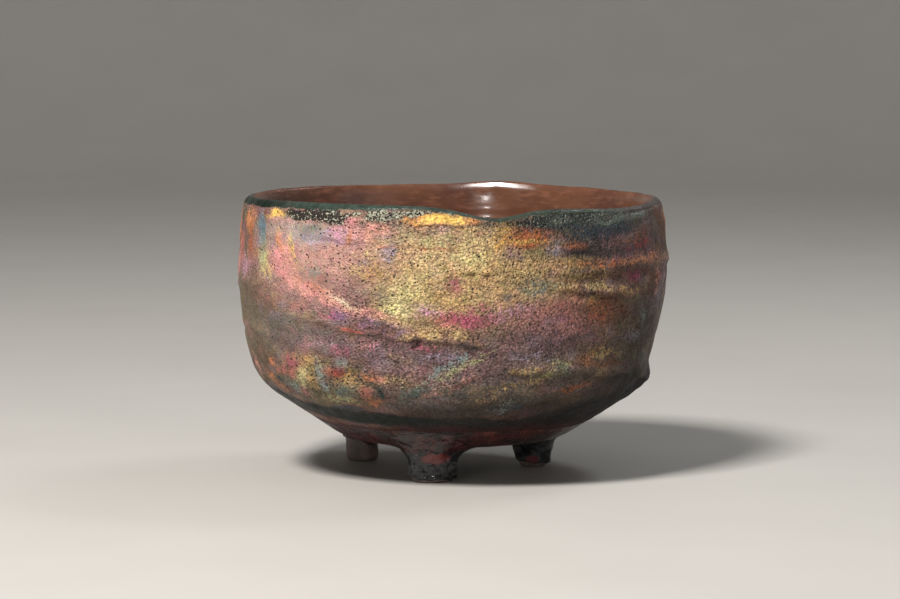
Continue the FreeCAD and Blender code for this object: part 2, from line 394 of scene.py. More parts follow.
def bowl_surface():
    """For each part of the outline: points on the clay, the way out of it, and the way along the outline."""
    clay = tree_of(nodes["clay_bowl"])
    lift = lip_lift(clay)
    turn = 2 * np.pi * np.arange(COLUMNS) / COLUMNS
    radii, heights, normals, owners, lengths = [], [], [], [], []
    travelled = 0.0
    for part, outline in OUTLINE.items():
        curve = smooth_curve(outline)
        length = np.append(0.0, np.cumsum(np.linalg.norm(np.diff(curve, axis=0), axis=1)))
        at = np.linspace(0, length[-1], ROWS[part])
        r, z = np.interp(at, length, curve[:, 0]), np.interp(at, length, curve[:, 1])
        dr, dz = np.gradient(r), np.gradient(z)
        size = np.hypot(dr, dz)
        radii.append(r)
        heights.append(z)
        normals.append(np.stack([dz / size, -dr / size], 1))
        owners += [part] * len(at)
        lengths.append(at + travelled)
        travelled += length[-1]
    r, z, along = np.concatenate(radii), np.concatenate(heights), np.concatenate(lengths)
    n = np.vstack(normals)
    for k in range(1, len(r)):
        if owners[k] != owners[k - 1]:
            n[k] = n[k - 1] = (n[k] + n[k - 1]) / np.linalg.norm(n[k] + n[k - 1])
    r = np.maximum(r, POLE)
    upness = np.clip((z - WAVE_FOOT) / (CREST - WAVE_FOOT), 0, 1) ** WAVE_FADE
    cos, sin, ones = np.cos(turn), np.sin(turn), np.ones(COLUMNS)
    start = np.stack([np.outer(r, cos), np.outer(r, sin), z[:, None] + np.outer(upness, lift)], -1)
    out = np.stack([np.outer(n[:, 0], cos), np.outer(n[:, 0], sin), np.outer(n[:, 1], ones)], -1)
    depth = np.full((len(r), COLUMNS), np.nan)
    for k in range(len(r)):
        for i in range(COLUMNS):
            origin = Vector(start[k, i] + out[k, i] * REACH) * MM
            hit = clay.ray_cast(origin, Vector(-out[k, i]), 2.2 * REACH * MM)
            if hit[0] is not None:
                depth[k, i] = REACH - hit[3] / MM
    fill_gaps(depth)
    for _ in range(3):
        depth = averaged_round(depth)
        depth[1:-1] = (depth[:-2] + 2 * depth[1:-1] + depth[2:]) / 4
    clay_points = start + out * depth[..., None]
    crest_row = int(np.argmax(z))
    below_lip = np.outer(along[crest_row] - along, ones)
    return clay_points, out, np.array(owners), below_lip


def blurred(grid, times):
    """A grid of rows round the bowl, averaged with its neighbours."""
    for _ in range(times):
        grid = averaged_round(grid)
        padded = np.vstack([grid[:1], grid, grid[-1:]])
        grid = (padded[:-2] + 2 * grid + padded[2:]) / 4
    return grid


RELIEF = {"base": base_relief, "wall": wall_relief, "lip": lip_relief, "inside": inside_relief}
SURROUNDINGS = 14  # how often the relief is averaged, to tell hollows from crests
BLEND = 5.0  # reliefs of two neighbouring coats run into each other over this length


def fired_surface(clay_points, out, owners, below_lip):
    """The outer skin of every coat, as one surface."""
    middle = clay_points + out * COAT
    rows = len(owners)
    relief = np.zeros(middle.shape[:2])
    total = np.zeros(middle.shape[:2])
    along = -below_lip[:, :1]
    for part, function in RELIEF.items():
        own = np.flatnonzero(owners == part)
        first, last = along[own[0], 0], along[own[-1], 0]
        weight = step(along[:, 0], first - BLEND / 2, first + BLEND / 2) if own[0] > 0 else np.ones(rows)
        if own[-1] < rows - 1:
            weight = weight * (1 - step(along[:, 0], last - BLEND / 2, last + BLEND / 2))
        used = weight > 0
        relief[used] += function(middle[used]) * weight[used, None]
        total[used] += weight[used, None]
    relief = np.clip(relief / total, -DEEPEST, HIGHEST)
    return middle + out * relief[..., None], relief - blurred(relief, SURROUNDINGS)


def coats(skin, inside, base):
    """The four coats, each a closed shell between the skin and the clay. The base's is given back."""
    clay_points, out, owners, below_lip = bowl_surface()
    surface, hollow = fired_surface(clay_points, out, owners, below_lip)
    back = clay_points + out * BED
    for a, b in (("base", "wall"), ("wall", "lip"), ("lip", "inside")):
        last, first = np.flatnonzero(owners == a)[-1], np.flatnonzero(owners == b)[0]
        for grid in (surface, back):
            grid[last] = grid[first] = (grid[last] + grid[first]) / 2
    plan = [
        ("base", "base_coat", "base_glaze", base),
        ("wall", "wall_coat", "copper_matte_glaze", skin),
        ("lip", "rim_coat", "rim_glaze", skin),
        ("inside", "inside_coat", "interior_glaze", inside),
    ]
    made = {}
    for part, name, node, material in plan:
        own = np.flatnonzero(owners == part)
        hidden = sorted(set(own[::BACK_EVERY]) | {own[-1]})
        fronts, backs = [(surface, k) for k in own], [(back, k) for k in reversed(hidden)]
        order = backs + fronts if part == "inside" else fronts + backs
        rings = [grid[k] for grid, k in order]
        layers = {}
        if material is skin:
            layers = skin_layers(surface[own])
            layers["below_lip"] = below_lip[own]
            layers["hollow"] = hollow[own]
            rows = [k - own[0] for _, k in order]
            layers = {key: np.concatenate(values[rows]) for key, values in layers.items()}
        made[part] = closed_mesh(name, rings, part in ("wall", "lip"), layers)
        stand_for(made[part], node, material)
    return made["base"]


# ---------------------------------------------------------------- the feet

FOOT_COLUMNS = 200
FOOT_RINGS = 70
# flare is how far the glaze runs out over the base, neck the height where it starts to, and lump the size of
# the unevenness. glaze_from is the height of the sleeve's lower edge, and wavy and tilt say how uneven it is.
FEET = {
    "front": {"flare": 7.5, "neck": 5.2, "lump": 0.55, "glaze_from": 0.9, "wavy": 0.35, "tilt": 0.2},
    "left": {"flare": 4.0, "neck": 7.8, "lump": 0.35, "glaze_from": 6.6, "wavy": 0.6, "tilt": 1.5},
    "right": {"flare": 5.5, "neck": 5.4, "lump": 0.42, "glaze_from": 1.5, "wavy": 0.5, "tilt": 0.3},
}
FAR = 20.0  # the feet are sought by rays that start this far from their axes
ROOT = 0.7  # how far a foot's clay runs up past the outside of the base
SLEEVE = 0.55  # thickness of a foot's glaze
NECK_SHARE = 0.45  # share of a sleeve that lies below its neck
SINK = 0.12  # how far the edge of a flare is sunk in the base coat
SOLE_EDGE = 0.9  # rounding at the edge of a sole
FLARE_REACH = 38.6  # the feet's glaze stays inside the base coat's edge, measured from the bowl's axis


def foot_radii(tree, centre, levels):
    """The CAD foot's radius at each level and column."""
    radii = np.full((len(levels), FOOT_COLUMNS), np.nan)
    for k, level in enumerate(levels):
        for i in range(FOOT_COLUMNS):
            turn = 2 * math.pi * i / FOOT_COLUMNS
            out = Vector((math.cos(turn), math.sin(turn), 0))
            start = Vector((centre[0], centre[1], level)) * MM + out * (FAR * MM)
            hit = tree.ray_cast(start, -out, FAR * MM)
            if hit[0] is not None:
                radii[k, i] = FAR - hit[3] / MM
    return fill_gaps(radii)


def foot(name, centre, base_coat, clay_material, glaze_material):
    """A foot's clay and its sleeve of glaze, round the CAD foot."""
    plan = FEET[name]
    turn = 2 * np.pi * np.arange(FOOT_COLUMNS) / FOOT_COLUMNS
    way = np.stack([np.cos(turn), np.sin(turn)], 1)
    levels = np.linspace(0.4, plan["neck"] + 1.5, 16)
    body = foot_radii(tree_of(nodes[f"foot_{name}"]), centre, levels)
    base_coat = tree_of(base_coat)

    def base_height(xy):
        hits = [base_coat.ray_cast(Vector((x, y, 0.0)) * MM, Vector((0, 0, 1)))[0] for x, y in xy]
        return np.array([hit.z / MM for hit in hits])

    def ring(radius, height):
        flat = np.array(centre)[None] + way * radius[:, None]
        return np.column_stack([flat, height * np.ones(FOOT_COLUMNS)])

    def body_radius(heights):
        return np.array([np.interp(heights[i], levels, body[:, i]) for i in range(FOOT_COLUMNS)])

    def radius_at(height):
        radius = body_radius(np.full(FOOT_COLUMNS, height))
        edge = max(0.0, SOLE_EDGE - height) / SOLE_EDGE
        return radius - 0.8 * SOLE_EDGE * (1 - math.sqrt(1 - min(edge, 0.999) ** 2))

    def uneven(points, share):
        middle = np.array([centre[0], centre[1], 0.0])
        away = points - middle
        away[:, 2] = 0
        away /= np.linalg.norm(away, axis=1)[:, None]
        lump = plan["lump"] * cloud(points, 4.2, 2, 80 + len(name)) + 0.12 * cloud(points, 1.5, 1, 90)
        return points + away * (lump * share)[:, None]

    # the clay, from the middle of its sole up into the bowl
    rings = [ring(radius_at(0.0) * part, 0.0) for part in (0.1, 0.4, 0.7, 0.93)]
    heights = np.concatenate([np.linspace(0, 1.2, 10), np.linspace(1.5, BASE_Z + ROOT, 34)])
    for height in heights:
        share = 0.35 + 0.65 * min(1.0, height / 2.0)
        rings.append(uneven(ring(radius_at(height), height), share * (0.6 if height > 0 else 0.2)))
    clay = closed_mesh(f"foot_{name}_clay", rings, False)
    stand_for(clay, f"foot_{name}", clay_material)

    # the sleeve of glaze, which runs out over the base
    edge = plan["glaze_from"] + plan["wavy"] * cloud(ring(radius_at(3.0), 0.0), 4.0, 2, 97 + len(name))
    edge = edge - plan["tilt"] * np.cos(turn + 0.6)
    neck = np.maximum(plan["neck"], edge + 0.6)
    outer, inner = [], []
    for t in np.linspace(0, 1, FOOT_RINGS):
        if t < NECK_SHARE:
            level = edge + (neck - edge) * t / NECK_SHARE
            radius = body_radius(level)
            bead = SLEEVE * (1.0 + 0.35 * bell(t - 0.06, 0.07)) * math.sqrt(min(1.0, t / 0.05 + 0.02))
            grid = np.column_stack([np.array(centre) + way * (radius + bead)[:, None], level])
            thick = SLEEVE * np.ones(FOOT_COLUMNS)
        else:
            u = (t - NECK_SHARE) / (1 - NECK_SHARE) * math.pi / 2
            radius = body_radius(neck) + SLEEVE + plan["flare"] * (1 - math.cos(u))
            flat = np.array(centre) + way * radius[:, None]
            flat *= np.minimum(1.0, FLARE_REACH / np.linalg.norm(flat, axis=1))[:, None]
            roof = base_height(flat) + SINK
            level = neck + (roof - neck) * math.sin(u)
            grid = np.column_stack([flat, level])
            thick = np.full(FOOT_COLUMNS, SLEEVE * (1 - 0.6 * (t - NECK_SHARE) / (1 - NECK_SHARE)))
        grid = uneven(grid, 1.0 - 0.9 * step(t, 0.8, 1.0))
        outer.append(grid)
        up = step(t, NECK_SHARE, 1.0)
        inward = np.column_stack([-way * thick[:, None] * (1 - step(t, 0.5, 1)), thick * up])
        inner.append(grid + inward)
    glaze = closed_mesh(f"foot_{name}_coat", outer + inner[::-1][::3], True)
    stand_for(glaze, f"foot_{name}_glaze", glaze_material)


# ---------------------------------------------------------------- materials


def linear(red, green, blue):
    """A colour given as a screen shows it, from 0 to 255, in the renderer's own scale."""
    parts = [((c / 255 + 0.055) / 1.055) ** 2.4 if c > 10 else c / 255 / 12.92 for c in (red, green, blue)]
    return (*parts, 1.0)


class Shader:
    """A material's node tree, with short names for the nodes used here. Its length unit is the millimetre."""

    def __init__(self, name):
        self.material = bpy.data.materials.new(name)
        self.material.use_nodes = True
        self.tree = self.material.node_tree
        self.surface = self.tree.nodes["Principled BSDF"]
        place = self.node("ShaderNodeTexCoord").outputs["Object"]
        self.place = self.vector("SCALE", place, scale=1 / MM)

    def put(self, socket, value):
        if isinstance(value, bpy.types.NodeSocket):
            self.tree.links.new(value, socket)
        else:
            socket.default_value = value

    def node(self, kind, **settings):
        made = self.tree.nodes.new(kind)
        for key, value in settings.items():
            setattr(made, key, value)
        return made

    def vector(self, operation, a, b=None, scale=None):
        made = self.node("ShaderNodeVectorMath", operation=operation)
        self.put(made.inputs[0], a)
        if b is not None:
            self.put(made.inputs[1], b)
        if scale is not None:
            self.put(made.inputs["Scale"], scale)
        return made.outputs["Value" if operation == "LENGTH" else "Vector"]

    def math(self, operation, a, b, clamp=False):
        made = self.node("ShaderNodeMath", operation=operation, use_clamp=clamp)
        self.put(made.inputs[0], a)
        self.put(made.inputs[1], b)
        return made.outputs[0]

    def plus(self, a, b):
        return self.math("ADD", a, b)

    def minus(self, a, b):
        return self.math("SUBTRACT", a, b)

    def times(self, a, b):
        return self.math("MULTIPLY", a, b)

    def mix(self, factor, a, b, blend="MIX"):
        made = self.node("ShaderNodeMix", data_type="RGBA", blend_type=blend)
        self.put(made.inputs[0], factor)
        self.put(made.inputs[6], a)
        self.put(made.inputs[7], b)
        return made.outputs[2]

    def dimmed(self, colour, factor, share=1.0):
        """The colour times the factor, which may also brighten it."""
        return self.mix(share, colour, factor, "MULTIPLY")

    def speckled(self, colour, specks, share, name):
        """The colour, with specks of a palette colour over it."""
        return self.mix(self.times(specks, share), colour, tone(name))

    def between(self, value, low, high, to_low=0.0, to_high=1.0):
        """Goes smoothly from to_low to to_high while value goes from low to high."""
        made = self.node("ShaderNodeMapRange", interpolation_type="SMOOTHSTEP")
        for socket, number in zip(made.inputs[:5], (value, low, high, to_low, to_high)):
            self.put(socket, number)
        return made.outputs[0]

    def noise(self, where, size, detail=2.0, colour=False, roughness=0.5):
        """Noise whose lumps are about size mm wide."""
        made = self.node("ShaderNodeTexNoise")
        self.put(made.inputs["Vector"], where)
        made.inputs["Scale"].default_value = 1.0 / size
        made.inputs["Detail"].default_value = detail
        made.inputs["Roughness"].default_value = roughness
        return made.outputs["Color" if colour else "Fac"]

    def varied(self, size, detail, low, high):
        """A number that wanders between low and high in lumps about size mm wide."""
        return self.between(self.noise(self.place, size, detail), 0.3, 0.7, low, high)

    def cells(self, where, size):
        made = self.node("ShaderNodeTexVoronoi")
        self.put(made.inputs["Vector"], where)
        made.inputs["Scale"].default_value = 1.0 / size
        return made

    def pits(self, size, radius, chance):
        """Small holes: 1 in a hole's middle and 0 outside it. chance is the share of cells that hold one."""
        cell = self.cells(self.place, size)
        picked = self.node("ShaderNodeSeparateColor")
        self.put(picked.inputs[0], cell.outputs["Color"])
        some = self.math("LESS_THAN", picked.outputs[0], chance)
        hole = self.between(cell.outputs["Distance"], radius, radius * 0.45)
        return self.times(hole, some)

    def drift(self, where, size, amount, detail=2.0):
        """where, pushed about by noise."""
        push = self.vector("SUBTRACT", self.noise(where, size, detail, colour=True), (0.5, 0.5, 0.5))
        return self.vector("ADD", where, self.vector("SCALE", push, scale=amount))

    def stretched(self, factors):
        """The place, scaled along each axis."""
        return self.vector("MULTIPLY", self.place, factors)

    def split(self, where):
        """A node whose outputs are the parts X, Y and Z."""
        made = self.node("ShaderNodeSeparateXYZ")
        self.put(made.inputs[0], where)
        return made

    def attribute(self, name, colour=False):
        return self.node("ShaderNodeAttribute", attribute_name=name).outputs["Color" if colour else "Fac"]

    def bump(self, height):
        made = self.node("ShaderNodeBump")
        made.inputs["Strength"].default_value = 1.0
        made.inputs["Distance"].default_value = MM
        self.put(made.inputs["Height"], height)
        return made.outputs["Normal"]

    def finish(self, colour, height=None, **sockets):
        """The material, with its colour, its fine relief and any other sockets of its surface set."""
        sockets["Base_Color"] = colour
        if height is not None:
            sockets["Normal"] = self.bump(height)
        for name, value in sockets.items():
            self.put(self.surface.inputs[name.replace("_", " ")], value)
        return self.material


# Colours as a screen shows them, from 0 to 255.
PALETTE = dict(
    dusty_pink=(186, 142, 130), pale_clay=(172, 152, 142), dusk=(140, 108, 102), beige=(216, 186, 136),
    tan=(184, 150, 98), rose=(168, 114, 108), umber=(58, 48, 38), night=(29, 25, 25),
    night_green=(19, 27, 25), gold=(205, 172, 121), yellow=(228, 184, 96), pale_yellow=(222, 206, 146),
    lime=(184, 178, 128), cream=(226, 206, 176), orange=(202, 132, 88), deep_orange=(170, 98, 58),
    coral=(184, 115, 103), red=(178, 62, 58), salmon=(212, 151, 137), pink=(208, 142, 140),
    hot_pink=(184, 88, 112), lilac=(188, 142, 158), violet=(138, 102, 134), lavender=(160, 148, 164),
    mauve=(122, 96, 96), plum=(96, 66, 72), rust=(126, 82, 60), brown=(104, 76, 58), olive=(104, 92, 66),
    khaki=(116, 104, 80), stone=(110, 100, 92), grey_green=(112, 122, 112), teal=(98, 116, 112),
    dark_teal=(48, 62, 62), slate=(52, 62, 76), blue=(90, 116, 134), ice=(142, 154, 150),
    black=(20, 20, 19), rim_green=(4, 24, 14), rim_grey=(46, 60, 52), rim_olive=(46, 54, 44),
    rim_dusk=(62, 54, 54), inside_brown=(99, 64, 47), inside_dark=(80, 50, 39), inside_light=(132, 88, 68),
    base_red=(64, 29, 27), base_dark=(34, 22, 22), base_bright=(96, 46, 39), clay_pink=(146, 128, 120),
    clay_grey=(112, 103, 99), foot_dark=(20, 20, 24), foot_grey=(45, 47, 53), foot_red=(112, 46, 42),
    hole=(30, 22, 20), froth_black=(24, 22, 20), froth_white=(176, 178, 156), bubble=(14, 16, 15),
    inside_speck=(24, 16, 14), base_speck=(18, 14, 14), sand=(60, 46, 40), foot_speck=(14, 13, 13),
    floor_dark=(178, 175, 170), floor_pale=(186, 183, 178),
)

# Fields and then patches of colour, laid on in order: azimuth, height, half width, half height, tilt, shade,
# strength. A positive tilt lifts the right end.
FIELDS = [
    (-75, 47, 20, 14, 0, "khaki", 0.9),
    (-50, 43, 16, 7, -6, "stone", 0.85),
    (-58, 53, 14, 4, -8, "brown", 0.6),
    (-36, 65, 27, 14, 0, "dusty_pink", 0.95),
    (-50, 72, 13, 4, 0, "pale_clay", 0.85),
    (-24, 56, 11, 5, 0, "dusk", 0.75),
    (-28, 39, 28, 7, 0, "mauve", 0.85),
    (4, 38, 26, 9, 0, "mauve", 0.95),
    (24, 43, 24, 7, 0, "mauve", 0.9),
    (2, 60, 22, 13, 0, "gold", 1.0),
    (-1, 70, 16, 6, 0, "beige", 0.9),
    (22, 60, 12, 9, 0, "gold", 0.9),
    (-14, 54, 7, 5, -12, "pale_yellow", 0.6),
    (27, 50, 15, 5, 0, "rose", 0.85),
    (46, 50, 12, 6, 0, "rust", 0.9),
    (50, 67, 22, 4, 0, "plum", 0.7),
    (50, 61, 16, 3, 0, "brown", 0.7),
    # darker towards the lower right: partly the glaze's own dark brown, partly painted shade
    (66, 44, 14, 10, 8, "umber", 0.9),
    (82, 66, 10, 9, 0, "brown", 0.7),
    (84, 52, 10, 8, 0, "stone", 0.6),
    (40, 35, 20, 5, 0, "olive", 0.6),
    (20, 29, 20, 5, 8, "stone", 0.8),
    (-44, 31, 24, 6, 0, "olive", 0.85),
    (-20, 28, 20, 4, 0, "khaki", 0.7),
    (2, 26, 24, 5, 4, "stone", 0.8),
    (-70, 33, 12, 5, 0, "brown", 0.6),
    # darker towards the lower right: partly the glaze's own dark, partly painted shade
    (60, 27, 26, 7, 8, "umber", 1.0),
    (14, 22.6, 32, 3.4, 4, "umber", 0.85),
    # dark glaze and a painted shadow under the ledge
    (64, 28.4, 15, 2.6, -6, "night", 0.8),
]
PATCHES = [
    # the left edge and the blue run
    (-86, 72, 4, 6, 0, "orange", 0.8),
    (-79, 65.5, 4.2, 5.5, 0, "coral", 0.95),
    (-83, 61, 3.4, 4, 0, "pink", 0.7),
    (-80, 74, 1.1, 2.4, 0, "dark_teal", 0.9),
    (-71, 74, 4.2, 3.4, 0, "orange", 0.85),
    (-69.5, 67, 2.2, 5, 2, "deep_orange", 0.75),
    (-74, 61, 4.5, 3.5, 0, "lilac", 0.6),
    (-62.5, 73, 2.3, 4.5, 0, "blue", 0.9),
    (-61.5, 68, 1.8, 5.5, 2, "ice", 0.6),
    (-60, 63.5, 2.6, 4, 0, "lime", 0.7),
    (-56, 61, 3.6, 3, 0, "gold", 0.45),
    (-54, 77, 5.0, 1.3, 0, "yellow", 0.85),
    (-50, 75.2, 5, 0.8, 0, "pink", 0.6),
    # upper left
    (-46, 72, 8, 3.0, 0, "pale_clay", 0.6),
    (-38, 72.6, 5.5, 2.2, 0, "grey_green", 0.6),
    (-38, 70.6, 4.5, 1.6, 0, "lavender", 0.5),
    (-29, 72.6, 5.5, 2.8, 0, "lilac", 0.75),
    (-29, 76.6, 4.2, 1.1, 0, "pink", 0.75),
    (-21, 73.2, 5.5, 2.0, 0, "salmon", 0.65),
    (-28, 72.2, 0.8, 2.0, -12, "orange", 0.7),
    (-52, 69.0, 1.3, 3.5, 16, "orange", 0.75),
    (-49, 66.6, 1.5, 4.5, 18, "salmon", 0.9),
    (-46.5, 67, 0.7, 3.4, 16, "yellow", 0.55),
    (-53, 64, 2.4, 4.4, 18, "pink", 0.9),
    (-36, 66, 6, 2.4, 0, "dusty_pink", 0.6),
    (-22, 66.6, 4, 1.4, 0, "beige", 0.45),
    (-22, 62, 6, 2.6, 0, "tan", 0.6),
    (-17, 67.4, 2.4, 2.8, 0, "lavender", 0.65),
    (-39, 61.4, 3.6, 2.0, -10, "grey_green", 0.5),
    (-30, 56.6, 6, 2.6, 0, "dusk", 0.5),
    # the bright band that falls to the right
    (-50, 60.5, 5.5, 2.2, -32, "pink", 0.95),
    (-45, 58.0, 6, 1.9, -30, "salmon", 1.0),
    (-38, 55.0, 6.5, 1.7, -25, "pink", 0.9),
    (-37, 55.6, 5.5, 1.1, -25, "orange", 0.3),
    (-31, 52.4, 6.5, 1.6, -18, "salmon", 1.0),
    (-29, 53.0, 5, 0.8, -18, "cream", 0.7),
    (-20, 50.0, 7, 1.6, -12, "salmon", 0.95),
    (-14, 47.8, 5, 1.3, -14, "beige", 0.6),
    (-31, 49.8, 3.4, 1.6, -10, "violet", 0.7),
    (-36, 50.4, 3.0, 1.0, -14, "hot_pink", 0.4),
    (-21, 47.2, 5, 1.4, -8, "violet", 0.4),
    (-28, 46.0, 4.0, 0.6, -6, "red", 0.55),
    (-38, 47.6, 4.2, 1.1, -16, "brown", 0.5),
    (-13, 45.4, 3.6, 1.4, -10, "violet", 0.45),
    # gold centre
    (-11, 57, 4.4, 4.2, -10, "pale_yellow", 0.8),
    (-15, 52.4, 4.5, 2.0, -10, "pale_yellow", 0.75),
    (-7, 62, 5, 4, 0, "beige", 0.5),
    (5, 66, 6, 3.6, 0, "pale_yellow", 0.5),
    (-4, 70.6, 6, 2.4, 0, "lime", 0.5),
    (-7, 73.4, 3, 1.0, 0, "stone", 0.4),
    (-1, 55, 7, 3.4, 0, "tan", 0.6),
    (7, 57, 7, 4.2, 0, "gold", 0.45),
    (0.6, 59.4, 1.7, 1.9, 10, "hot_pink", 0.55),
    (-6, 51.4, 4, 1.3, -6, "lilac", 0.6),
    (9, 52.4, 3, 1.2, 0, "hot_pink", 0.3),
    (4.0, 49.0, 8.0, 2.5, 3, "hot_pink", 0.85),
    (10, 49.4, 5, 1.8, 6, "rose", 0.7),
    (-3, 48.4, 3.5, 1.6, 0, "coral", 0.45),
    (-6.5, 45.9, 3.4, 1.7, 0, "gold", 0.8),
    (-12.5, 44.6, 1.8, 1.0, 10, "gold", 0.6),
    (1.5, 45.0, 2.6, 1.5, -24, "gold", 0.8),
    # the two dents below the gold, darkened with painted shade
    (-9.8, 42.7, 2.4, 1.0, 24, "umber", 1.0),
    (4.5, 42.2, 3.0, 0.7, -12, "plum", 0.6),
    (-3.5, 76.6, 10.5, 1.7, 0, "yellow", 1.0),
    (-11, 77.0, 3.2, 1.3, 0, "orange", 0.5),
    (6, 76.2, 2.6, 1.0, -12, "orange", 0.9),
    (-3, 74.9, 10.5, 0.35, 0, "rust", 0.8),
    (-10, 69.0, 9.5, 0.3, 0, "deep_orange", 0.6),
    (-30, 70.7, 8.0, 0.3, -4, "plum", 0.6),
    # right of the dip, under the lip
    (17, 75.4, 7, 1.4, 4, "black", 0.6),
    (30, 76.3, 16, 2.6, 2, "dark_teal", 1.0),
    (46, 75.0, 17, 3.2, 2, "dark_teal", 0.85),
    (44, 72.6, 14, 2.0, 3, "slate", 0.7),
    (66, 76, 7, 2.4, 4, "stone", 0.7),
    (29, 76.2, 3.0, 1.0, 4, "grey_green", 0.7),
    (48, 75.6, 8.0, 1.0, 2, "grey_green", 0.75),
    (60, 76.6, 3.6, 1.0, 0, "ice", 0.55),
    (74, 74.5, 2.0, 2.6, 0, "rust", 0.8),
    (84, 74.5, 3.0, 3.4, 0, "orange", 0.75),
    (13.5, 70.5, 3.0, 4.4, 0, "yellow", 0.6),
    (20.5, 71.2, 5.4, 3.0, 0, "deep_orange", 0.95),
    (20, 70.8, 4.0, 0.6, 3, "yellow", 0.75),
    (17, 66.6, 3.4, 1.6, 0, "lilac", 0.4),
    (24, 66.6, 3, 1.6, 0, "lime", 0.5),
    (40, 67.8, 15, 2.7, 2, "night", 0.72),
    (27.5, 68.5, 1.8, 2.2, 0, "lavender", 0.55),
    (33, 69.4, 3.4, 0.8, 0, "deep_orange", 0.5),
    (61, 68.8, 5, 2.2, 8, "red", 0.4),
    (60, 70.8, 8, 1.2, 8, "rust", 0.6),
    (70, 68, 3, 5, 0, "olive", 0.4),
    (33, 64.4, 8, 1.2, 1, "tan", 0.6),
    (46, 63.6, 12, 1.2, 2, "deep_orange", 0.55),
    (62, 64.4, 8, 1.3, 4, "orange", 0.5),
    (80, 63.4, 7, 1.2, 3, "gold", 0.55),
    # dark lines in the groove under the ridge: partly violet glaze, partly a painted shadow under the ridge
    (48, 61.0, 9, 0.8, 0, "plum", 0.5),
    (40, 60.0, 6, 0.8, -3, "plum", 0.4),
    (56, 59.4, 5.0, 1.5, 4, "hot_pink", 0.45),
    (70, 58.0, 1.6, 4.4, 0, "salmon", 0.5),
    (78, 57.6, 2.2, 4.2, 0, "lilac", 0.6),
    (74, 52.0, 3.2, 3.4, 0, "lavender", 0.4),
    (36, 60.6, 9, 1.6, 0, "tan", 0.5),
    (38, 54.4, 9, 1.8, -3, "tan", 0.45),
    (54, 53.2, 7, 2.2, -3, "olive", 0.5),
    (42, 57.3, 6.5, 1.2, -5, "gold", 0.7),
    (52, 56.2, 5.0, 1.2, -2, "gold", 0.6),
    (30, 58.2, 4.4, 0.8, -12, "gold", 0.6),
    (22, 58, 5.4, 2.6, 0, "grey_green", 0.55),
    (14, 55.4, 1.7, 1.0, 0, "stone", 0.6),
    (18, 51.8, 6, 2.2, 8, "lilac", 0.45),
    (30, 49.4, 4, 1.6, 0, "violet", 0.35),
    (30, 52.6, 5.4, 1.6, 6, "coral", 0.4),
    (43, 48.6, 5.2, 3.6, 0, "deep_orange", 0.6),
    (34, 45.6, 8, 1.8, 0, "rose", 0.4),
    (52, 45.5, 5, 2.4, 0, "olive", 0.5),
    (63, 47.2, 2.6, 4.0, 6, "grey_green", 0.4),
    (58, 42.4, 3.2, 2.0, 0, "lavender", 0.25),
    # lower right
    (44, 38.2, 6.0, 2.0, 0, "gold", 0.6),
    (38, 36.8, 3.0, 1.2, 0, "orange", 0.4),
    (46, 35.2, 9, 0.9, -4, "rust", 0.8),
    (33.5, 35.6, 2.0, 1.2, 0, "hot_pink", 0.55),
    (29, 36.0, 3.4, 1.2, 0, "lime", 0.5),
    (31, 33.8, 3.6, 1.4, 0, "teal", 0.5),
    (23, 38.0, 4.4, 1.7, 0, "lavender", 0.3),
    (20, 34.9, 5.4, 0.9, 4, "tan", 0.6),
    (25, 32.6, 4.4, 1.5, 4, "lime", 0.45),
    (37, 29.0, 6.8, 0.9, 7, "deep_orange", 0.55),
    (16, 30.4, 6.0, 1.3, 10, "tan", 0.35),
    (12, 27.2, 5.0, 1.3, 8, "tan", 0.3),
    (16.5, 24.0, 3.6, 1.6, 16, "ice", 0.4),
    (20.5, 24.0, 2.4, 1.0, 12, "slate", 0.6),
    # lower middle, the bands that climb to the right
    (0, 36.4, 7.0, 2.4, 30, "teal", 0.4),
    (-3, 34.4, 6.5, 1.9, 32, "ice", 0.3),
    (2, 35.0, 8.0, 1.0, 32, "lime", 0.55),
    (-11, 27.8, 6.0, 2.2, 16, "teal", 0.5),
    (2, 31.4, 8.0, 1.2, 28, "salmon", 0.35),
    (8, 35.4, 5.0, 1.2, 14, "dusk", 0.5),
    (-6, 38.8, 5, 1.8, 10, "lavender", 0.4),
    (-23, 42.4, 4.4, 1.3, 0, "pink", 0.45),
    (-7, 42.0, 3.0, 1.0, 0, "hot_pink", 0.35),
    (-34, 40.4, 5.0, 1.6, 0, "lavender", 0.4),
    (-42, 41.2, 4.4, 1.2, 0, "lilac", 0.4),
    # lower left
    (-42, 34.0, 14, 4.4, 0, "olive", 0.5),
    (-60, 34.6, 1.5, 1.3, 0, "orange", 0.8),
    (-56, 32.2, 2.6, 1.2, 0, "coral", 0.7),
    (-50, 34.9, 2.8, 1.8, 0, "hot_pink", 0.5),
    (-51, 32.0, 1.8, 1.5, 0, "coral", 0.65),
    (-43.5, 36.4, 4.0, 2.0, 0, "tan", 0.7),
    (-46.5, 32.6, 1.8, 1.6, 0, "pale_yellow", 0.6),
    (-48.5, 30.0, 1.8, 1.6, 0, "lime", 0.55),
    (-43, 31.0, 1.9, 3.0, 0, "tan", 0.5),
    (-40, 30.6, 1.2, 4.4, 2, "ice", 0.6),
    (-37, 34.0, 1.5, 1.0, 0, "coral", 0.5),
    (-31.5, 38.6, 2.2, 1.6, 0, "hot_pink", 0.4),
    (-32, 35.9, 1.7, 1.4, 0, "ice", 0.4),
    (-33, 33.0, 2.4, 1.5, 0, "red", 0.5),
    (-29.5, 32.4, 1.5, 1.6, 0, "yellow", 0.45),
    (-23.5, 32.4, 2.0, 1.4, 0, "orange", 0.6),
    (-20.5, 32.0, 2.0, 1.3, 0, "coral", 0.8),
    (-26.5, 27.8, 3.0, 2.0, 0, "coral", 0.8),
    (-31, 29.8, 3.2, 1.6, 0, "tan", 0.6),
    (-34, 27.4, 3.0, 1.6, 0, "grey_green", 0.7),
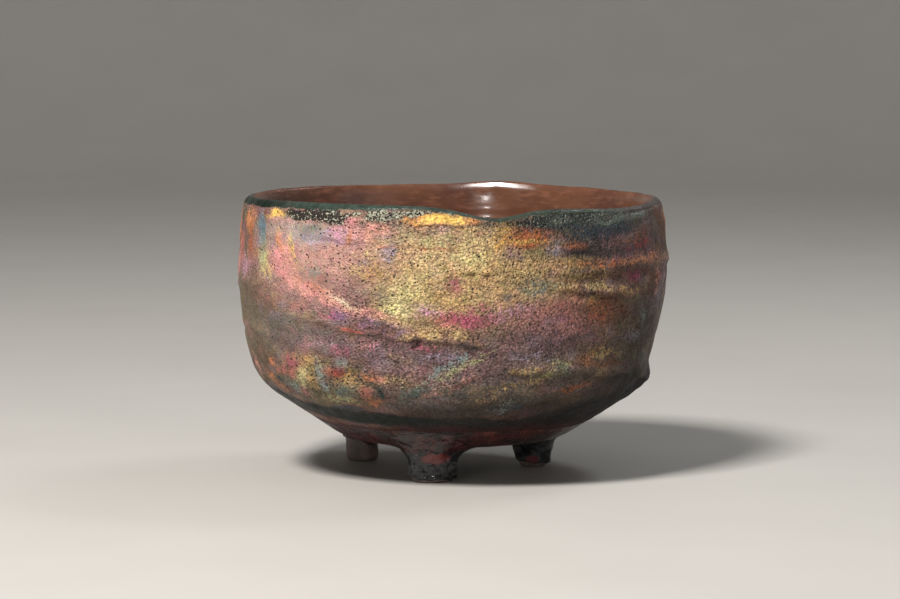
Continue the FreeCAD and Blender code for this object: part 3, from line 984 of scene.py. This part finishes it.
    (-21.5, 27.4, 1.1, 2.6, 0, "dark_teal", 0.85),
    (-25, 24.6, 2.4, 1.0, 0, "orange", 0.6),
    (-15, 31.6, 4.0, 1.5, 0, "beige", 0.3),
    (-64, 29.8, 3.2, 1.8, 0, "orange", 0.55),
    (-74, 32.0, 2.6, 3.0, 0, "salmon", 0.6),
    (-58, 29.6, 2.4, 1.4, 0, "dark_teal", 0.7),
    (-53, 28.0, 2.4, 1.7, 0, "ice", 0.5),
    (-48.5, 27.2, 1.9, 1.6, 0, "pink", 0.55),
    (-60, 27.0, 2.6, 1.3, 0, "orange", 0.6),
    (-38, 25.6, 5.0, 1.1, -8, "lime", 0.5),
]
# The dark belt above the foot of the wall, which on the lower right also carries painted shade.
DARK_BELT = [
    (-66, 22.4, 13, 3.0, -14, "night_green", 0.95),
    (-44, 20.6, 14, 2.4, -6, "night_green", 1.0),
    (-22, 19.2, 14, 2.2, -3, "night_green", 1.0),
    (4, 18.0, 18, 2.4, 0, "night_green", 0.85),
    (-36, 22.6, 6, 0.8, -6, "slate", 0.8),
    (28, 18.0, 20, 3.0, 4, "night", 0.85),
    # the lower right darkened further: partly the dark belt, partly painted shade
    (62, 21.0, 27, 6.0, 8, "night", 0.95),
    (82, 26, 14, 6, 8, "night", 0.7),
    (-90, 22, 14, 4.0, -6, "night_green", 0.8),
]
# Froth at the rim glaze's edge: azimuth, height, half width, half height, tilt, tone, strength.
# The lower the tone, the more black there is among the white dots.
FROTH = [
    (-43, 77.6, 8, 1.7, -1, -0.15, 1.0),
    (-35, 77.2, 6, 2.2, -3, -0.11, 1.0),
    (-28, 78.2, 5.0, 0.8, 0, -0.01, 0.6),
    (-19, 77.3, 5.0, 1.7, 0, 0.01, 0.8),
    (-11, 78.5, 6.0, 0.8, 0, 0.0, 0.75),
    (0, 78.4, 8.0, 0.4, 0, 0.02, 0.6),
    (18, 76.0, 12.0, 1.6, 3, -0.11, 0.45),
    (38, 77.0, 14.0, 1.6, 2, -0.09, 0.38),
]
# Where the skin is full of pits or, below 0, calm: azimuth, height, half width, half height, tilt, amount.
PITTED = [
    (-30, 76.0, 17, 2.4, 0, 0.8),
    (-22, 75.0, 12, 1.6, 0, 0.6),
    (20, 75.4, 12, 2.0, 0, 0.7),
    (-46, 31, 14, 5, 0, 1.0),
    (-24, 31, 10, 4, 0, 0.7),
    (24, 63, 8, 4, 0, 0.6),
    (-30, 62, 16, 7, 0, 0.3),
    (-3.5, 76.4, 9, 1.3, 0, -1.0),
]
# Glossy glaze of the rim: azimuth, half width, shade, strength. It covers the whole height of the band.
RIM_SHADES = [
    (-74, 24, "rim_green", 0.95),
    (-30, 24, "rim_grey", 0.9),
    (0, 16, "rim_grey", 0.75),
    (32, 24, "rim_olive", 0.9),
    (70, 14, "rim_dusk", 0.9),
]
# Hues that come and go all over the ground: shade, size, where they set in, strength.
IRIDESCENCE = [
    ("pink", 9.0, 0.2, 0.2),
    ("grey_green", 8.0, 0.35, 0.26),
    ("gold", 7.0, 0.3, 0.22),
    ("plum", 8.5, 0.3, 0.24),
    ("lavender", 5.5, 0.4, 0.24),
    ("rust", 6.0, 0.3, 0.2),
]
# The side that faces away from the photograph, in the same manner.
BACK_FIELDS = [
    (112, 52, 18, 16, 0, "umber", 0.6),
    (124, 66, 18, 8, 0, "plum", 0.7),
    (146, 58, 18, 11, -8, "rose", 0.9),
    (158, 40, 22, 9, 0, "mauve", 0.85),
    (180, 62, 17, 12, 0, "gold", 0.85),
    (190, 71, 13, 5, 0, "beige", 0.7),
    (170, 51, 12, 4, -8, "pale_yellow", 0.45),
    (212, 56, 17, 10, -10, "dusty_pink", 0.9),
    (226, 70, 16, 5, 0, "pale_clay", 0.7),
    (240, 60, 16, 10, 0, "dusk", 0.8),
    (250, 45, 20, 12, 0, "khaki", 0.85),
    (205, 37, 26, 7, 0, "stone", 0.8),
    (168, 29, 34, 6, 0, "olive", 0.8),
    (222, 28, 24, 5, 0, "khaki", 0.7),
    (112, 24, 26, 8, 0, "night", 0.8),
    (150, 19, 40, 3.2, 0, "night_green", 0.9),
    (205, 19, 40, 3.0, 0, "night_green", 0.95),
    (248, 20, 26, 3.0, 0, "night_green", 0.95),
]
BACK_SHADES = [
    ("gold", "yellow", "beige", "orange", "rust"),
    ("pink", "salmon", "hot_pink", "coral", "lilac"),
    ("violet", "lavender", "grey_green", "teal", "ice"),
    ("umber", "olive", "brown", "tan", "stone"),
]
BACK_MARKS = 150


def back_marks():
    """Small patches on the far side. Each family of shades keeps roughly to places of its own."""
    draw = random.Random(7)
    right_end, left_end = 96, 264
    marks = []
    for k in range(BACK_MARKS):
        family = k % len(BACK_SHADES)
        centre = draw.choice((118, 150, 182, 214, 246)) + 9 * family - 14
        azimuth = draw.gauss(centre, 13)
        height = draw.uniform(25, 76)
        size = 1.4 + 6.0 * draw.random() ** 2
        name = draw.choice(BACK_SHADES[family])
        tilt = draw.gauss(-6, 16)
        if right_end < azimuth < left_end:
            flatness = draw.uniform(0.25, 0.6)
            marks.append((azimuth, height, size, size * flatness, tilt, name, draw.uniform(0.3, 0.8)))
    return marks


def tone(name):
    """A colour of the palette, as a shader takes it."""
    return linear(*PALETTE[name])


def shade(name):
    """A colour of the palette, as an array without its alpha."""
    return np.array(tone(name)[:3])


def mixed(under, over, share):
    return under + (over - under) * share[..., None]


def patch_distance(azimuth, radius, height, patch):
    """How far each point is from the middle of an elliptic patch. It is 1 on the ellipse."""
    at, level, half_width, half_height, tilt = patch[:5]
    along = np.radians(from_azimuth(azimuth, at)) * radius
    up = height - level
    cos, sin = math.cos(math.radians(tilt)), math.sin(math.radians(tilt))
    return np.hypot((along * cos + up * sin) / half_width, (up * cos - along * sin) / half_height)


def skin_layers(points):
    """Colours on the skin's points, fields under patches, and what the shader needs to join them."""
    radius = np.hypot(points[..., 0], points[..., 1])
    azimuth = np.degrees(np.arctan2(points[..., 0], -points[..., 1]))
    sideways = 1.0 * cloud(points, 7.0, 3, 201) + 0.35 * cloud(points, 1.5, 2, 204)
    upward = 0.8 * cloud(points, 7.0, 3, 211) + 0.3 * cloud(points, 1.5, 2, 214)
    azimuth = azimuth + np.degrees(sideways / radius)
    height = points[..., 2] + upward

    def distance(patch):
        return patch_distance(azimuth, radius, height, patch)

    def mask_of(patch, near, far):
        """The patch's strength, which is its last value, fading out from near to far."""
        return patch[-1] * (1 - step(distance(patch), near, far))

    # the ground: fields, hues that come and go, the dark belt and the base's red; some fields and the belt
    # also carry painted shade on the lower right
    field = cloud(points, 13.0, 4, 221, 2.0)
    under = mixed(shade("olive"), shade("mauve"), step(field, -0.5, 0.1))
    under = mixed(under, shade("rust"), step(field, 0.2, 0.8))
    for patch in FIELDS + BACK_FIELDS:
        under = mixed(under, shade(patch[5]), mask_of(patch, 0.3, 1.6))
    for k, (name, size, threshold, strength) in enumerate(IRIDESCENCE):
        sheen = cloud(points, size, 3, 241 + 7 * k, 1.7)
        lit = 0.3 + 0.7 * step(under.mean(axis=-1), 0.03, 0.16)
        under = mixed(under, shade(name), strength * lit * step(sheen, threshold, threshold + 0.55))
    for patch in DARK_BELT:
        under = mixed(under, shade(patch[5]), mask_of(patch, 0.7, 1.3))
    under = mixed(under, shade("base_red"), 1 - step(height, 15.8, 18.2))

    # the patches over it
    over = under.copy()
    cover = np.zeros(radius.shape)
    for patch in PATCHES + back_marks():
        mask = mask_of(patch, 0.3, 1.6)
        wide = 1 - step(distance(patch), 1.2, 2.2)
        over = mixed(over, shade(patch[5]), mask + wide * (1 - mask) * (1 - cover))
        cover = 1 - (1 - cover) * (1 - mask)

    # the lip, the froth under it, and where the skin is pitted and coarse
    rim = np.zeros(points.shape) + shade("rim_dusk")
    for at, half_width, name, strength in RIM_SHADES:
        away = np.abs(np.radians(from_azimuth(azimuth, at))) * radius / half_width
        rim = mixed(rim, shade(name), strength * (1 - step(away, 0.5, 1.5)))
    froth, froth_tone = np.zeros(radius.shape), np.zeros(radius.shape)
    for patch in FROTH:
        mask = mask_of(patch, 0.5, 1.5)
        froth_tone = np.where(mask > froth, patch[5], froth_tone)
        froth = np.maximum(froth, mask)
    pitted = np.zeros(radius.shape)
    for patch in PITTED:
        pitted += mask_of(patch, 0.5, 1.5)
    coarse = 0.4 + 0.6 * step(azimuth, -50, -12) + 0.45 * step(azimuth, 4, 22) - 0.5 * step(azimuth, 55, 85)
    coarse = np.where(np.abs(azimuth) > 100, 0.8, coarse)
    coarse = coarse * (1 - 0.5 * bell(azimuth + 36, 18) * step(height, 50, 60))
    colours = dict(under=under, over=over, rim=rim)
    return dict(colours, cover=cover, froth=froth, froth_tone=froth_tone, pitted=pitted, coarse=coarse)


def interior_colour(shader):
    """Brown glaze, dark where it pooled, with lighter streaks that run round the bowl."""
    broad = shader.noise(shader.drift(shader.place, 20, 8), 16, 4)
    streaks = shader.noise(shader.stretched((0.35, 0.35, 1.4)), 1.6, 4, roughness=0.6)
    colour = shader.mix(shader.between(broad, 0.35, 0.65), tone("inside_dark"), tone("inside_brown"))
    return shader.mix(shader.between(streaks, 0.45, 0.75, 0, 0.55), colour, tone("inside_light"))


def skin_material():
    """The fired coat outside: many-coloured and gritty on the wall, glossy on the lip."""
    shader = Shader("fired_skin")
    place = shader.place
    grain = shader.noise(place, 0.42, 2, roughness=0.6)
    clusters = shader.noise(place, 1.5, 2)
    pebbles = shader.cells(shader.drift(place, 1.2, 0.5), 0.8).outputs["Distance"]
    coarse = shader.attribute("coarse")
    pitted = shader.attribute("pitted")
    lip = shader.attribute("below_lip")

    # the patches end from grain to grain, not in a soft edge
    ragged = shader.between(grain, 0.3, 0.7, -0.3, 0.3)
    ragged = shader.plus(ragged, shader.between(clusters, 0.3, 0.7, -0.24, 0.24))
    cover = shader.between(shader.plus(shader.attribute("cover"), ragged), 0.05, 0.95)
    colour = shader.mix(cover, shader.attribute("under", True), shader.attribute("over", True))

    # a play of colour at the scale of a few grains, then painted light and shade: lighter on the crests of
    # the relief, on grains, on lumps and on the tops of pebbles, and painted shade in hollows and in the gaps
    # between pebbles
    flecks = shader.noise(shader.drift(place, 3.0, 2.0), 2.0, 3, colour=True)
    colour = shader.mix(0.2, colour, flecks, "OVERLAY")
    colour = shader.dimmed(colour, shader.varied(3.6, 3, 0.88, 1.16))
    # painted shade in the relief's hollows and painted light on its crests
    colour = shader.dimmed(colour, shader.between(shader.attribute("hollow"), -0.4, 0.35, 0.74, 1.16))
    # painted glints on the raised grains with painted shade between them, and painted light and shade on the
    # lumps
    colour = shader.dimmed(colour, shader.between(grain, 0.34, 0.68, 0.84, 1.18))
    colour = shader.dimmed(colour, shader.between(clusters, 0.34, 0.66, 0.93, 1.06))
    # painted shade in the gaps between pebbles and painted light on their tops
    colour = shader.dimmed(colour, shader.between(pebbles, 0.25, 0.8, 1.22, 0.66), coarse)

    often = shader.times(shader.between(shader.noise(place, 12, 2), 0.36, 0.6, 0.2, 0.62), coarse)
    often = shader.plus(often, shader.times(pitted, 0.8))
    hole = shader.math("MAXIMUM", shader.pits(1.7, 0.24, often), shader.pits(0.9, 0.33, often))
    colour = shader.speckled(colour, hole, 0.88, "hole")

    # froth: dots of black and white glaze, with some of the colour beneath showing between them
    white = shader.plus(shader.noise(place, 0.54, 1), shader.attribute("froth_tone"))
    froth = shader.mix(shader.between(white, 0.46, 0.53), tone("froth_black"), tone("froth_white"))
    frothy = shader.plus(shader.attribute("froth"), shader.times(ragged, 0.8))
    colour = shader.mix(shader.between(frothy, 0.3, 0.62, 0, 0.95), colour, froth)

    # the lip: a band of gloss, wider towards both sides, that turns brown on its way inside
    parts = shader.split(place)
    edge = shader.plus(shader.noise(place, 6.0, 2), shader.times(shader.noise(place, 0.9, 2), 0.5))
    left = shader.between(parts.outputs["X"], 0, -56)
    right = shader.between(parts.outputs["X"], 6, 30, 0.3, 1.0)
    width = shader.plus(shader.times(edge, 1.6), shader.times(left, 1.3))
    width = shader.plus(width, right)
    gloss = shader.between(shader.minus(width, lip), -0.25, 0.35)
    rim = shader.dimmed(shader.attribute("rim", True), shader.varied(2.4, 3, 0.7, 1.3))
    over = shader.plus(lip, shader.times(parts.outputs["Y"], -0.018))
    over = shader.plus(over, shader.times(shader.noise(place, 3.0, 2), 0.8))
    rim = shader.mix(shader.between(over, 0.4, -0.5), rim, interior_colour(shader))
    rim = shader.speckled(rim, shader.pits(1.1, 0.2, 0.16), 0.6, "bubble")
    colour = shader.mix(gloss, colour, rim)

    # fine relief, calmer on the blister under the lip and mostly gone under the gloss
    height = shader.plus(shader.times(shader.between(grain, 0.3, 0.7), 0.34), shader.times(clusters, 0.35))
    height = shader.minus(height, shader.times(pebbles, 0.6))
    height = shader.times(height, coarse)
    height = shader.minus(height, shader.times(hole, 0.4))
    height = shader.times(height, shader.between(pitted, -0.9, 0.0, 0.35, 1.0))
    height = shader.times(height, shader.between(gloss, 0, 1, 1.0, 0.12))
    roughness = shader.varied(4.0, 3, 0.46, 0.68)
    roughness = shader.math("SUBTRACT", roughness, shader.times(gloss, 0.3), clamp=True)
    return shader.finish(
        colour,
        height,
        Roughness=roughness,
        Metallic=shader.between(gloss, 0, 1, 0.2, 0),
        Specular_IOR_Level=shader.between(gloss, 0, 1, 0.36, 0.2),
    )


def inside_material():
    """Glossy brown, with a few dark specks."""
    shader = Shader("inside_brown")
    specks = shader.pits(2.2, 0.14, 0.4)
    colour = shader.speckled(interior_colour(shader), specks, 0.7, "inside_speck")
    waves = shader.times(shader.noise(shader.stretched((0.4, 0.4, 1)), 3.0, 2), 0.1)
    height = shader.minus(waves, shader.times(specks, 0.04))
    roughness = shader.varied(5.0, 3, 0.13, 0.26)
    return shader.finish(colour, height, Roughness=roughness, Coat_Weight=0.35, Coat_Roughness=0.08)


def base_material():
    """Dark red gloss under the bowl, bright where it broke thin, and black where it is thick."""
    shader = Shader("base_red")
    broad = shader.noise(shader.drift(shader.place, 9, 6), 7.0, 4)
    colour = shader.mix(shader.between(broad, 0.38, 0.55), tone("base_dark"), tone("base_red"))
    colour = shader.mix(shader.between(broad, 0.58, 0.7, 0, 0.8), colour, tone("base_bright"))
    colour = shader.dimmed(colour, shader.varied(1.2, 3, 0.7, 1.25))
    specks = shader.pits(1.6, 0.2, 0.25)
    colour = shader.speckled(colour, specks, 0.8, "base_speck")
    height = shader.minus(shader.times(shader.noise(shader.place, 1.6, 2), 0.3), shader.times(specks, 0.1))
    roughness = shader.varied(3.0, 3, 0.2, 0.42)
    return shader.finish(colour, height, Roughness=roughness, Coat_Weight=0.3, Coat_Roughness=0.12)


def clay_material():
    """Bare fired stoneware: grey-pink, dusty, with sand in it."""
    shader = Shader("stoneware")
    broad = shader.noise(shader.place, 6.0, 4)
    colour = shader.mix(shader.between(broad, 0.35, 0.65), tone("clay_grey"), tone("clay_pink"))
    grain = shader.noise(shader.place, 0.5, 3, roughness=0.65)
    colour = shader.dimmed(colour, shader.between(grain, 0.3, 0.7, 0.72, 1.18))
    sand = shader.pits(1.3, 0.22, 0.3)
    colour = shader.speckled(colour, sand, 0.6, "sand")
    height = shader.minus(shader.times(grain, 0.14), shader.times(sand, 0.12))
    return shader.finish(colour, height, Roughness=0.82)


def foot_glaze_material(name, sheen, red_at, red_size):
    """Glassy dark glaze over a foot, red where it runs into the base, with one red patch on its side."""
    shader = Shader(name)
    wandering = shader.drift(shader.place, 2.6, 2.0, 3)
    mottled = shader.noise(wandering, 2.8, 4)
    colour = shader.mix(shader.between(mottled, 0.42, 0.62), tone("foot_dark"), tone("foot_grey"))
    colour = shader.mix(shader.between(mottled, 0.6, 0.72, 0, 0.28), colour, tone("clay_pink"))
    away = shader.vector("DIVIDE", shader.vector("SUBTRACT", wandering, red_at), red_size)
    away = shader.vector("LENGTH", away)
    colour = shader.mix(shader.between(away, 1.35, 0.75, 0, 0.9), colour, tone("foot_red"))
    red = shader.mix(shader.between(mottled, 0.4, 0.6), tone("base_dark"), tone("base_red"))
    colour = shader.mix(shader.between(shader.split(wandering).outputs["Z"], 8.0, 9.4), colour, red)
    specks = shader.pits(1.2, 0.22, 0.35)
    colour = shader.speckled(colour, specks, 0.7, "foot_speck")
    lumps = shader.times(shader.noise(shader.place, 2.2, 2), 1.1)
    height = shader.minus(lumps, shader.times(specks, 0.12))
    roughness = shader.varied(1.8, 2, sheen, sheen + 0.2)
    return shader.finish(colour, height, Roughness=roughness, Coat_Weight=0.3, Coat_Roughness=0.05)


# ---------------------------------------------------------------- stage, light and camera


def floor():
    """A pale round floor that curves up into a wall on every side, outside the lights and the camera."""
    flat, bend, top, sides = 1.35, 0.75, 2.6, 96
    flat_rings, bend_rings = 6, 12
    profile = [(flat * k / flat_rings, 0.0) for k in range(1, flat_rings + 1)]
    for k in range(1, bend_rings + 1):
        turn = math.pi / 2 * k / bend_rings
        profile.append((flat + bend * math.sin(turn), bend - bend * math.cos(turn)))
    profile.append((flat + bend, top))
    turns = [2 * math.pi * i / sides for i in range(sides)]
    points = [(r * math.cos(turn), r * math.sin(turn), z) for r, z in profile for turn in turns]
    faces = []
    for k in range(len(profile) - 1):
        for i in range(sides):
            j = (i + 1) % sides
            faces.append((k * sides + i, (k + 1) * sides + i, (k + 1) * sides + j, k * sides + j))
    faces.append(tuple(range(sides)))
    mesh = bpy.data.meshes.new("floor")
    mesh.from_pydata(points, [], faces)
    mesh.polygons.foreach_set("use_smooth", [True] * len(mesh.polygons))
    shader = Shader("pale_floor")
    colour = shader.mix(shader.noise(shader.place, 60.0, 2), tone("floor_dark"), tone("floor_pale"))
    mesh.materials.append(shader.finish(colour, Roughness=0.6))
    put_in_scene("floor", mesh)


def area_light(name, place, target, size, power, colour):
    light = bpy.data.lights.new(name, "AREA")
    light.shape = "RECTANGLE"
    light.size, light.size_y = size
    light.energy = power
    light.color = colour
    made = put_in_scene(name, light)
    made.location = place
    made.rotation_euler = (Vector(target) - Vector(place)).to_track_quat("-Z", "Y").to_euler()


def studio():
    """A soft key from the upper left, a faint light behind, a low one for the front foot, and a fill."""
    middle, feet = (0, 0, 0.045), (0, 0, 0.02)
    area_light("key", (-0.43, -0.68, 0.98), middle, (0.26, 0.26), 23.6, (1.0, 0.97, 0.93))
    area_light("back", (0.5, 0.4, 0.72), middle, (0.3, 0.16), 1.9, (0.96, 0.98, 1.0))
    area_light("low", (-0.35, -0.95, 0.2), feet, (0.06, 0.06), 0.6, (1.0, 0.98, 0.95))
    area_light("fill", (0.95, -0.7, 0.5), middle, (0.8, 0.8), 0.5, (0.95, 0.97, 1.0))
    world = bpy.data.worlds.new("studio")
    world.use_nodes = True
    background = world.node_tree.nodes["Background"]
    background.inputs["Color"].default_value = (0.9, 0.93, 1.0, 1.0)
    background.inputs["Strength"].default_value = 0.3
    bpy.context.scene.world = world


def camera():
    """The photograph's camera: a long lens, a little above the lip and looking down by some degrees."""
    down = 5.165
    data = bpy.data.cameras.new("camera")
    data.lens = 152
    data.sensor_width = 36
    made = put_in_scene("camera", data)
    made.location = (-0.00087, -1.102, 0.1492)
    made.rotation_euler = (math.radians(90 - down), 0, 0)
    bpy.context.scene.camera = made


# ---------------------------------------------------------------- the whole scene


def build():
    camera()
    studio()
    floor()
    bpy.context.scene.view_settings.view_transform = "Standard"
    clay = clay_material()
    base = base_material()
    base_coat = coats(skin_material(), inside_material(), base)
    nodes["clay_bowl"].data.materials.clear()
    nodes["clay_bowl"].data.materials.append(clay)
    soles = {}
    for mount in frame["record"]["mounts"]:
        soles[mount["name"].replace("rest_", "")] = [c / MM for c in mount["pos_m"][:2]]
    x, y = soles["front"]
    front = foot_glaze_material("foot_glass", 0.08, (x + 1.0, y - 6.0, 7.2), (3.8, 6.0, 1.5))
    x, y = soles["right"]
    right = foot_glaze_material("foot_dusk", 0.34, (x - 0.5, y - 4.5, 2.2), (1.7, 5.0, 1.3))
    foot("front", soles["front"], base_coat, clay, front)
    foot("left", soles["left"], base_coat, clay, base)
    foot("right", soles["right"], base_coat, clay, right)


build()
